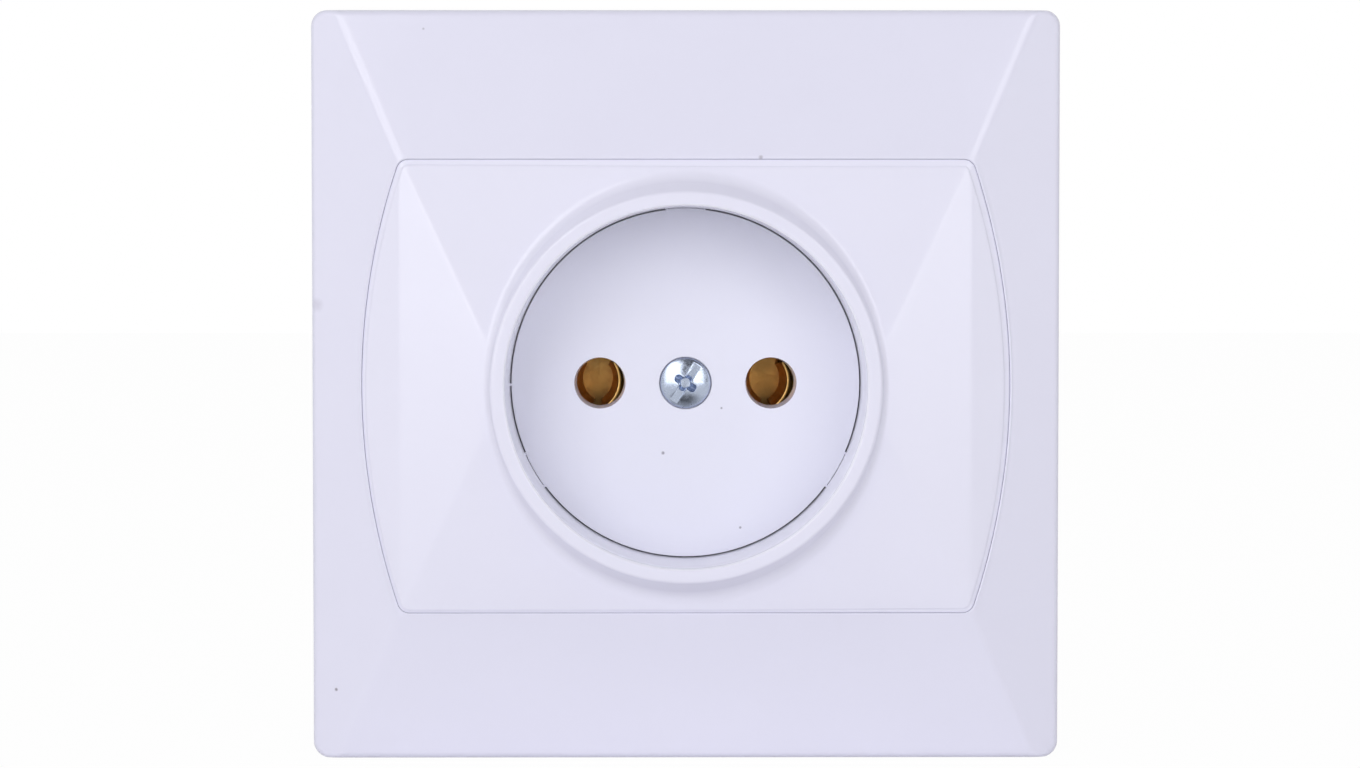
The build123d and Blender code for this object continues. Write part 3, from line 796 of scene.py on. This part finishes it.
@dataclass
class OuterFrame:
    """Square outer frame: a sloped shell with a seat lip around its opening."""

    slopes: Slopes = Slopes()
    square: SquareOutline = SquareOutline()
    wall: float = 2.0
    edge: float = 0.9
    groove: Groove = Groove()
    seam_gap: float = 0.03
    plate_wall: float = 2.0
    seat_gap: float = 0.1
    lip_w: float = 1.8
    lip_t: float = 1.5
    rim_w: float = 1.8
    tilt_run: float = 0.5
    front_loops: int = 34
    edge_loops: int = 7
    back_loops: int = 12
    stations: Stations = Stations(((35.0, 50.0, 0.15),))

    def build(self) -> Mesh:
        """Make the mesh of the frame, from the lip over the front and round to the back.

        Returns:
            The closed mesh.
        """
        work = LoopMesh(self.stations.angles())
        outline = partial(SeamOutline(self.slopes).radius, work.angles)
        square = partial(self.square.radius, work.angles)
        front, cover = self.slopes.frame_height, self.slopes.cover_height
        opening = self.seam_gap / 2
        seat = self.plate_wall + self.seat_gap
        lip, edge, rim = (outline(opening + grow) for grow in (-self.lip_w, 0.0, self.rim_w))
        work.lay(lip, cover, seat + self.lip_t)
        work.lay(lip, cover, seat)
        work.lay(edge, cover, seat)
        top = front(*work.spread(edge))
        steps = self.groove.steps()
        for run, depth in steps:
            work.add(outline(opening + run), top - depth)
        tilt, centre = self.rounding(work)
        ends = outline(opening + steps[-1][0]), square(self.edge * (1 - np.sin(tilt)))
        work.fill(ends, np.linspace(0.0, 1.0, self.front_loops + 2)[1:-1], front)
        for turn in np.linspace(tilt, QUARTER_TURN, self.edge_loops):
            work.add(square(self.edge * (1 - np.sin(turn))), centre + self.edge * np.cos(turn))
        work.add(square(0.0), 0.0)
        work.add(square(self.wall), 0.0)
        work.fill((square(self.wall), rim), np.linspace(0.0, 1.0, self.back_loops), front, self.wall)
        work.lay(rim, cover, seat + self.lip_t)
        return work.mesh("outer_frame_moulding")

    def rounding(self, work: LoopMesh) -> tuple[Curve, Curve]:
        """Tilt of the slope at the outer edge and height of the rounding's centre.

        Args:
            work: Mesh whose stations are used.

        Returns:
            Tilt in radians and height, at each station.
        """
        radii = (self.square.radius(work.angles, self.edge + run) for run in (0.0, self.tilt_run))
        height, further = (self.slopes.frame_height(*work.spread(radius)) for radius in radii)
        tilt = np.arctan2(further - height, self.tilt_run)
        return tilt, height - self.edge / np.cos(tilt)

    def dress(self) -> list[Object]:
        """Build the frame and put it in place."""
        return [place_piece("outer_frame", "moulded", self.build(), FRAME_FINISH)]


@dataclass
class CoverPlate:
    """Cover plate with its stepped border, raised ring and the wall of the well."""

    slopes: Slopes = Slopes()
    seam_gap: float = 0.03
    wall: float = 2.0
    border_w: float = 0.44
    border_shift: Pair = (0.1, 0.25)
    border_least: float = 0.02
    border_slope: float = 0.25
    border_step: float = 0.14
    border_room: float = 0.8
    groove: Groove = Groove()
    ring_outer: float = 21.15
    ring_front: float = 10.468
    ring_draft: float = 20.0
    ring_draft_ends: float = 30.0
    ring_edge: float = 0.3
    ring_brow: float = 0.4
    ring_foot: float = 0.9
    ring_foot_ends: float = 2.0
    mouth_r: float = 19.65
    well_r: float = 19.45
    well_depth: float = 12.5
    tube_wall: float = 1.85
    floor_t: float = 2.0
    ledge_r: float = 17.8
    ledge_t: float = 1.8
    notch_count: int = 3
    notch_r: float = 18.9
    notch_w: float = 4.6
    notch_d: float = 0.95
    slope_loops: int = 5
    front_loops: int = 34
    foot_rounds: int = 20
    foot_loops: int = 9
    ring_loops: int = 6
    well_loops: int = 4
    back_loops: int = 11
    stations: Stations = Stations(((10.0, 37.0, 0.3), (37.0, 40.5, 0.1)))

    def __post_init__(self) -> None:
        """Start the mesh, and the outline at its stations."""
        self.work = LoopMesh(self.stations.angles())
        self.outline = partial(SeamOutline(self.slopes).radius, self.work.angles)

    def build(self) -> Mesh:
        """Make the mesh of the plate, from its edge to the ring, the well and back underneath.

        Returns:
            The closed mesh.
        """
        edge, cover = -self.seam_gap / 2, self.slopes.cover_height
        self.border(edge)
        centre, cove, turns = self.foot()
        ends = self.outline(edge - self.border_w - self.border_room), centre[0] + cove * np.cos(turns[0])
        self.work.fill(ends, np.linspace(0.0, 1.0, self.front_loops + 1)[:-1], cover)
        self.work.arc(centre, cove, turns)
        self.ring()
        self.well()
        ends = self.well_r + self.tube_wall, self.outline(edge)
        self.work.fill(ends, np.linspace(0.0, 1.0, self.back_loops + 1)[:-1], cover, self.wall)
        return self.work.mesh("cover_plate_moulding")

    def border(self, edge: float) -> None:
        """Add the edge of the plate and its stepped border.

        Args:
            edge: Place of the plate's edge from the seam.
        """
        cover = self.slopes.cover_height
        self.work.lay(self.outline(edge), cover, self.wall)
        steps = self.groove.steps()
        for run, depth in steps:
            self.work.lay(self.outline(edge - run), cover, self.border_step + depth)
        across, upward = self.border_shift
        width = self.border_w + across * np.cos(self.work.angles) + upward * np.sin(self.work.angles)
        foot = edge - np.maximum(width, steps[-1][0] + self.border_least)
        for share in np.linspace(0.0, 1.0, self.slope_loops + 1):
            drop = self.border_step * (1 - math.sin(share * QUARTER_TURN))
            self.work.lay(self.outline(foot - self.border_slope * share), cover, drop)

    def eased(self, sides: float, ends: float) -> Curve:
        """A size that changes from the sides to the top and bottom."""
        return sides + (ends - sides) * np.sin(self.work.angles) ** 2

    def lean(self) -> Curve:
        """Lean of the ring's cone in radians, steeper at the sides than at top and bottom."""
        return np.radians(self.eased(self.ring_draft, self.ring_draft_ends))

    def foot(self) -> tuple[tuple[Curve, Curve], Curve, Curve]:
        """Cove between the slopes and the cone of the ring.

        Returns:
            Its centre, its radius and the directions of its loops, from the slopes to the cone.
        """
        lean, spread = self.lean(), self.work.spread
        radius = np.full(lean.shape, self.ring_outer)
        for _ in range(self.foot_rounds):
            height = self.slopes.cover_height(*spread(radius))
            radius = self.ring_outer + (self.ring_front - height) * np.tan(lean)
        height = self.slopes.cover_height(*spread(radius))
        cove = self.eased(self.ring_foot, self.ring_foot_ends)
        fall = height - self.slopes.cover_height(*spread(radius + self.ring_foot))
        tilt = np.arctan2(fall, self.ring_foot)
        along_r, along_h = np.cos(tilt), -np.sin(tilt)
        up_r, up_h = -np.sin(lean), np.cos(lean)
        between = np.arccos(along_r * up_r + along_h * up_h)
        tangent = cove / np.tan(between / 2)
        middle_r, middle_h = along_r + up_r, along_h + up_h
        away = cove / np.sin(between / 2) / np.hypot(middle_r, middle_h)
        centre_r, centre_h = radius + middle_r * away, height + middle_h * away
        first = np.arctan2(height + along_h * tangent - centre_h, radius + along_r * tangent - centre_r)
        last = np.arctan2(height + up_h * tangent - centre_h, radius + up_r * tangent - centre_r)
        last = np.where(last > first, last - 2 * math.pi, last)
        return (centre_r, centre_h), cove, np.linspace(first, last, self.foot_loops)

    def ring(self) -> None:
        """Add the rounded front of the ring."""
        lean = self.lean()
        inset = self.ring_brow * (1 - np.sin(lean)) / np.cos(lean)
        centre = self.ring_outer - inset, self.ring_front - self.ring_brow
        self.work.arc(centre, self.ring_brow, np.linspace(lean, QUARTER_TURN, self.ring_loops))
        centre = self.mouth_r + self.ring_edge, self.ring_front - self.ring_edge
        self.work.arc(centre, self.ring_edge, np.linspace(QUARTER_TURN, math.pi, self.ring_loops))

    def well(self) -> None:
        """Add the wall of the well, the ledge for the floor disc and the back of the tube."""
        ledge = self.ring_front - self.well_depth - self.floor_t
        back = ledge - self.ledge_t
        add = self.work.add
        for share in np.linspace(1 / self.well_loops, 1.0, self.well_loops):
            radius = self.mouth_r + (self.well_r - self.mouth_r) * share
            add(radius, self.ring_front - self.well_depth * share)
        step = 2 * math.pi / self.notch_count
        turn = np.mod(self.work.angles - QUARTER_TURN + step / 2, step) - step / 2
        in_notch = np.abs(turn) < math.asin(self.notch_w / 2 / self.notch_r)
        notched = np.where(in_notch, self.notch_r, self.ledge_r)
        add(self.well_r, ledge)
        add(self.ledge_r, ledge)
        add(self.ledge_r, back + self.notch_d)
        add(notched, back + self.notch_d)
        add(notched, back)
        add(self.well_r + self.tube_wall, back)

    def dress(self) -> list[Object]:
        """Build the plate and put it in place."""
        return [place_piece("cover_plate", "moulded", self.build(), COVER_FINISH)]


@dataclass
class SocketFace:
    """Floor disc of the well, its pin holes narrowing towards the back as moulded holes do."""

    node: str = "socket_face"
    rim_r: float = 19.18
    rim_swell: float = 0.13
    tab_r: float = 19.36
    tab_swell: float = 0.05
    nub_angles: tuple[float, ...] = (83.8, 96.2, 180.6, 203.8, 216.2, 323.8, 336.2)
    nub_at: float = 19.38
    nub_r: float = 0.17
    nub_detail: int = 2
    pin_x: float = 9.5
    pin_r: float = 2.85
    draft: float = 0.2
    edges: EdgeRounding = EdgeRounding(0.06)

    def build(self) -> Mesh:
        """Narrow the back of the pin holes, let the rim nearly fill the well and round the edges.

        Returns:
            The mesh of the disc.
        """
        mesh = merged_copy(self.node)
        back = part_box(self.node)[1].y
        for vertex in mesh.vertices:
            for radius, swell in ((self.rim_r, self.rim_swell), (self.tab_r, self.tab_swell)):
                if abs(math.hypot(vertex.co.x, vertex.co.z) / MM - radius) < self.tab_swell / 2:
                    vertex.co.x *= 1.0 + swell / radius
                    vertex.co.z *= 1.0 + swell / radius
                    break
            axis_x = math.copysign(self.pin_x * MM, vertex.co.x)
            reach = math.hypot(vertex.co.x - axis_x, vertex.co.z) / MM
            on_hole = abs(reach - self.pin_r) < self.draft / 2
            if on_hole and vertex.co.y > back - self.draft * MM:
                narrow = (self.pin_r - self.draft) / reach
                vertex.co.x = axis_x + (vertex.co.x - axis_x) * narrow
                vertex.co.z *= narrow
        self.add_nubs(mesh)
        return self.edges.ease(mesh)

    def add_nubs(self, mesh: Mesh) -> None:
        """Add the little nubs of flash that bridge the gap around the disc.

        Args:
            mesh: Mesh of the disc, which is changed.
        """
        work = bmesh.new()
        work.from_mesh(mesh)
        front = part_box(self.node)[0].y
        reach, size = self.nub_at * MM, self.nub_r * MM
        for angle in np.radians(self.nub_angles):
            place = Matrix.Translation((reach * math.cos(angle), front, reach * math.sin(angle)))
            bmesh.ops.create_icosphere(work, subdivisions=self.nub_detail, radius=size, matrix=place)
        work.to_mesh(mesh)
        work.free()

    def dress(self) -> list[Object]:
        """Build the disc and put it in place."""
        return [place_piece(self.node, "moulded", self.build(), FLOOR_FINISH)]


@dataclass(frozen=True)
class Thread:
    """Sizes of a screw thread."""

    radius: float
    pitch: float
    length: float
    ridge: float = 0.16


class ThreadTree:
    """Geometry Nodes tree that winds a screw thread along Y."""

    turn_points: int = 20
    ridge_points: int = 4

    def __init__(self) -> None:
        """Build the tree with its inputs."""
        self.tree = bpy.data.node_groups.new("screw_thread", "GeometryNodeTree")
        self.names: dict[str, str] = {}
        kinds = {"Start": "Vector", "Material": "Material"}
        for name in ("Turns", "Radius", "Length", "Ridge", "Start", "Material"):
            kind = "NodeSocket" + kinds.get(name, "Float")
            item = self.tree.interface.new_socket(name=name, in_out="INPUT", socket_type=kind)
            self.names[name] = item.identifier
        self.tree.interface.new_socket(name="Geometry", in_out="OUTPUT", socket_type="NodeSocketGeometry")
        self.wire()

    def wire(self) -> None:
        """Add the nodes and join them."""
        board = NodeBoard(self.tree)
        entry, leave = board.add("NodeGroupInput").outputs, board.add("NodeGroupOutput").inputs
        winding = {"Resolution": self.turn_points, "Rotations": entry["Turns"], "Height": entry["Length"]}
        winding |= {"Start Radius": entry["Radius"], "End Radius": entry["Radius"]}
        profile = {"Resolution": self.ridge_points, "Radius": entry["Ridge"]}
        sweep = {
            "Curve": board.made("GeometryNodeCurveSpiral", "Curve", winding),
            "Profile Curve": board.made("GeometryNodeCurvePrimitiveCircle", "Curve", profile),
            "Fill Caps": True,
        }
        stand = {
            "Geometry": board.made("GeometryNodeCurveToMesh", "Mesh", sweep),
            "Translation": entry["Start"],
            "Rotation": (-QUARTER_TURN, 0.0, 0.0),
        }
        stood = board.made("GeometryNodeTransform", "Geometry", stand)
        real = board.made("GeometryNodeRealizeInstances", "Geometry", {"Geometry": stood})
        coat = {"Geometry": real, "Material": entry["Material"]}
        board.feed(leave["Geometry"], board.made("GeometryNodeSetMaterial", "Geometry", coat))

    def attach(self, values: dict[str, object], work: Object) -> None:
        """Let an object make a thread.

        Args:
            values: Values for the inputs of the tree, by name.
            work: The object.
        """
        winder = work.modifiers.new("thread", "NODES")
        winder.node_group = self.tree
        for name, value in values.items():
            winder[self.names[name]] = value

    def wind(self, thread: Thread, start: Point, material: Material) -> Mesh:
        """Make the mesh of one thread.

        Args:
            thread: Sizes of the thread.
            start: Middle of its front end.
            material: Finish of the thread.

        Returns:
            The plain mesh.
        """
        values = {
            "Turns": thread.length / thread.pitch,
            "Radius": (thread.radius - thread.ridge) * MM,
            "Length": thread.length * MM,
            "Ridge": thread.ridge * MM,
            "Start": tuple(v * MM for v in start),
            "Material": material,
        }
        return baked(bpy.data.meshes.new("thread"), partial(self.attach, values))


@dataclass
class ThreadedScrew:
    """A screw of the frame with a thread wound on its shank."""

    node: str
    thread: Thread
    axis_x: float
    axis_z: float
    thread_from: float
    core_ridges: float = 1.5
    shank_fit: float = 0.05
    run_out: float = 0.6
    edges: EdgeRounding = EdgeRounding(0.08)

    def build(self, winder: ThreadTree) -> Mesh:
        """Thin the shank to the core and wind the thread on it.

        Args:
            winder: Tree that makes threads.

        Returns:
            The mesh of the screw.
        """
        mesh = merged_copy(self.node)
        core = self.thread.radius - self.core_ridges * self.thread.ridge
        front, back = self.thread_from, self.thread_from + self.thread.length
        for vertex in mesh.vertices:
            x, y, z = vertex.co.x / MM - self.axis_x, vertex.co.y / MM, vertex.co.z / MM - self.axis_z
            reach = math.hypot(x, z)
            on_shank = abs(reach - self.thread.radius) < self.shank_fit
            if on_shank and front - self.run_out < y < back + self.run_out:
                vertex.co.x = (self.axis_x + x * core / reach) * MM
                vertex.co.z = (self.axis_z + z * core / reach) * MM
        body = self.edges.ease(mesh)
        work = bmesh.new()
        work.from_mesh(body)
        work.from_mesh(winder.wind(self.thread, (self.axis_x, front, self.axis_z), SCREW_FINISH.material))
        work.to_mesh(body)
        work.free()
        return smooth(body)

    def dress(self, winder: ThreadTree) -> Object:
        """Build the screw and put it in place."""
        return place_piece(self.node, "threaded", self.build(winder), SCREW_FINISH)


@dataclass
class Fastenings:
    """Cover screw, claw screws and terminal screws."""

    cover_thread: Thread = Thread(1.5, 0.5, 5.8)
    claw_thread: Thread = Thread(1.5, 0.5, 13.0)
    terminal_thread: Thread = Thread(1.75, 0.6, 4.0)
    tip_room: float = 0.3

    def dress(self) -> list[Object]:
        """Build every screw and put it in place.

        Returns:
            The new pieces.
        """
        winder = ThreadTree()
        threads = {"cover_screw": self.cover_thread}
        for side in Side:
            threads[f"claw_screw_{side.value}"] = self.claw_thread
            for level in Level:
                threads[f"terminal_screw_{side.value}_{level.value}"] = self.terminal_thread
        pieces = []
        for node, thread in threads.items():
            low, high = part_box(node)
            middle = (low + high) / 2 / MM
            if node.startswith("terminal"):
                start = low.y / MM + self.tip_room
            else:
                start = high.y / MM - self.tip_room - thread.length
            pieces.append(ThreadedScrew(node, thread, middle.x, middle.z, start).dress(winder))
        return pieces


@dataclass
class Mechanism:
    """Everything behind the cover apart from the screws."""

    sheet_ease: float = 0.12
    moulding_ease: float = 0.25
    small_ease: float = 0.1

    def dress(self) -> list[Object]:
        """Dress every inner piece.

        Returns:
            The new pieces.
        """
        pieces = [
            dressed("support_plate", PLATE_FINISH, self.sheet_ease),
            dressed("base_cover", BASE_FINISH, self.moulding_ease),
            dressed("contact_base", BASE_FINISH, self.moulding_ease),
            dressed("base_rivets", SCREW_FINISH, self.small_ease),
            dressed("cover_nut", BRASS_FINISH, self.small_ease),
        ]
        for side in Side:
            pieces.append(dressed(f"contact_{side.value}", BRASS_FINISH, self.small_ease))
            for level in Level:
                clamp = f"terminal_clamp_{side.value}_{level.value}"
                pieces.append(dressed(clamp, SCREW_FINISH, self.small_ease))
            for kind in ("claw", "claw_nut"):
                pieces.append(dressed(f"{kind}_{side.value}", CLAW_FINISH, self.small_ease))
        return pieces


@dataclass(frozen=True)
class Lamp:
    """A soft area lamp that points at the socket, at an azimuth and an elevation seen from it."""

    name: str
    direction: Pair
    size: Pair
    power: float
    distance: float = 1.0

    def add(self) -> None:
        """Put the lamp in the scene."""
        data = bpy.data.lights.new(self.name, "AREA")
        data.shape = "RECTANGLE"
        data.size, data.size_y = self.size
        data.energy = self.power
        lamp = linked(self.name, data)
        azimuth, elevation = map(math.radians, self.direction)
        out, up = self.distance * math.cos(elevation), self.distance * math.sin(elevation)
        lamp.location = (out * math.sin(azimuth), -out * math.cos(azimuth), up)
        lamp.rotation_euler = (-lamp.location).to_track_quat("-Z", "Y").to_euler()


@dataclass
class Studio:
    """Camera, lamps, pale floor and white surroundings.

    The front levels are what mirrors see from straight ahead, at 0, to straight behind, at 1.
    """

    camera_place: Point = (-3.42, -450.0, 19.71)
    pitch: float = -2.512
    yaw: float = -0.357
    focal_px: float = 4073.0
    photo_w: int = 1360
    sensor: float = 36.0
    clip_start: float = 0.01
    floor_z: float = -41.3
    floor_size: float = 3.0
    floor_colour: Colour = (0.88, 0.88, 0.88)
    floor_share: float = 0.98
    spot_y: float = -62.0
    spot_reach: Pair = (15.0, 45.0)
    spot_levels: Pair = (0.08, 0.85)
    ambient: float = 0.27
    ambient_behind: float = 0.65
    front_levels: tuple[Pair, ...] = ((0.0, 0.65), (0.05, 0.1), (0.22, 0.1), (0.75, 0.9))
    lamps: tuple[Lamp, ...] = (
        Lamp("left_softbox", (-26.0, 17.0), (0.58, 0.95), 4.5),
        Lamp("right_softbox", (25.0, 7.0), (0.47, 0.80), 2.8),
        Lamp("left_panel", (-68.0, 3.0), (0.70, 0.80), 1.75),
        Lamp("right_panel", (66.0, 3.0), (0.70, 0.80), 1.75),
    )

    def add(self) -> None:
        """Set up the studio."""
        self.add_camera()
        self.add_floor()
        self.add_world()
        for lamp in self.lamps:
            lamp.add()
        bpy.context.scene.view_settings.view_transform = "Standard"

    def add_camera(self) -> None:
        """Make the camera at the viewing angle of the photograph."""
        data = bpy.data.cameras.new("camera")
        data.sensor_width = self.sensor
        data.sensor_fit = "HORIZONTAL"
        data.lens = self.focal_px / self.photo_w * self.sensor
        data.clip_start = self.clip_start
        camera = linked("camera", data)
        camera.location = tuple(v * MM for v in self.camera_place)
        camera.rotation_euler = (QUARTER_TURN + math.radians(self.pitch), 0.0, math.radians(self.yaw))
        bpy.context.scene.camera = camera

    def add_floor(self) -> None:
        """Make the pale floor, white to the camera apart from the shadow on it."""
        half, level = self.floor_size / 2, self.floor_z * MM
        mesh = bpy.data.meshes.new("floor")
        corners = [(x * half, y * half, level) for x, y in ((-1, -1), (1, -1), (1, 1), (-1, 1))]
        mesh.from_pydata(corners, [], [(0, 1, 2, 3)])
        floor = linked("floor", mesh)
        material = bpy.data.materials.new("pale_floor")
        material.use_nodes = True
        board = NodeBoard(material.node_tree)
        paint = board.made("ShaderNodeBsdfDiffuse", "BSDF", {"Color": (*self.floor_colour, 1.0)})
        place = board.add("ShaderNodeTexCoord").outputs["Object"]
        reach = board.vector("DISTANCE", "Value", place, (0.0, self.spot_y * MM, level))
        mirrored = board.ranged(reach, *self.spot_levels, tuple(v * MM for v in self.spot_reach))
        light = {"Color": WHITE, "Strength": board.bright(mirrored)}
        glow = board.made("ShaderNodeEmission", "Emission", light)
        share = board.combined("MULTIPLY", board.seen(), self.floor_share)
        mix = board.made("ShaderNodeMixShader", "Shader", {"Fac": share, 1: paint, 2: glow})
        board.feed(board.add("ShaderNodeOutputMaterial").inputs["Surface"], mix)
        mesh.materials.append(material)

    def add_world(self) -> None:
        """Make the surroundings: white behind the socket, dimmer in front of it and as light."""
        world = bpy.data.worlds.new("surroundings")
        bpy.context.scene.world = world
        world.use_nodes = True
        board = NodeBoard(world.node_tree)
        place = board.add("ShaderNodeTexCoord").outputs["Generated"]
        behind = board.made("ShaderNodeSeparateXYZ", "Y", {"Vector": place})
        around = board.add("ShaderNodeValToRGB")
        marks = around.color_ramp.elements
        while len(marks) < len(self.front_levels):
            marks.new(0.5)
        for mark, (position, bright) in zip(marks, self.front_levels):
            mark.position = position
            mark.color = (bright, bright, bright, 1.0)
        board.feed(around.inputs["Fac"], board.ranged(behind, 0.0, 1.0, (-1.0, 1.0)))
        light = board.ranged(behind, self.ambient, self.ambient_behind, (0.0, 1.0))
        level = board.ranged(board.seen(), light, board.bright(around.outputs["Color"]), (0.0, 1.0))
        sky = board.made("ShaderNodeBackground", "Background", {"Color": WHITE, "Strength": level})
        board.feed(board.add("ShaderNodeOutputWorld").inputs["Surface"], sky)


def main() -> None:
    """Build every piece of the socket and the studio around it."""
    logging.basicConfig(level=logging.INFO, format="%(name)s: %(message)s")
    for assembly in (OuterFrame(), CoverPlate(), SocketFace(), Mechanism(), Fastenings()):
        for piece in assembly.dress():
            log.info("%s: %d faces", piece.name, len(piece.data.polygons))
    Studio().add()


if __name__ == "__main__":
    main()
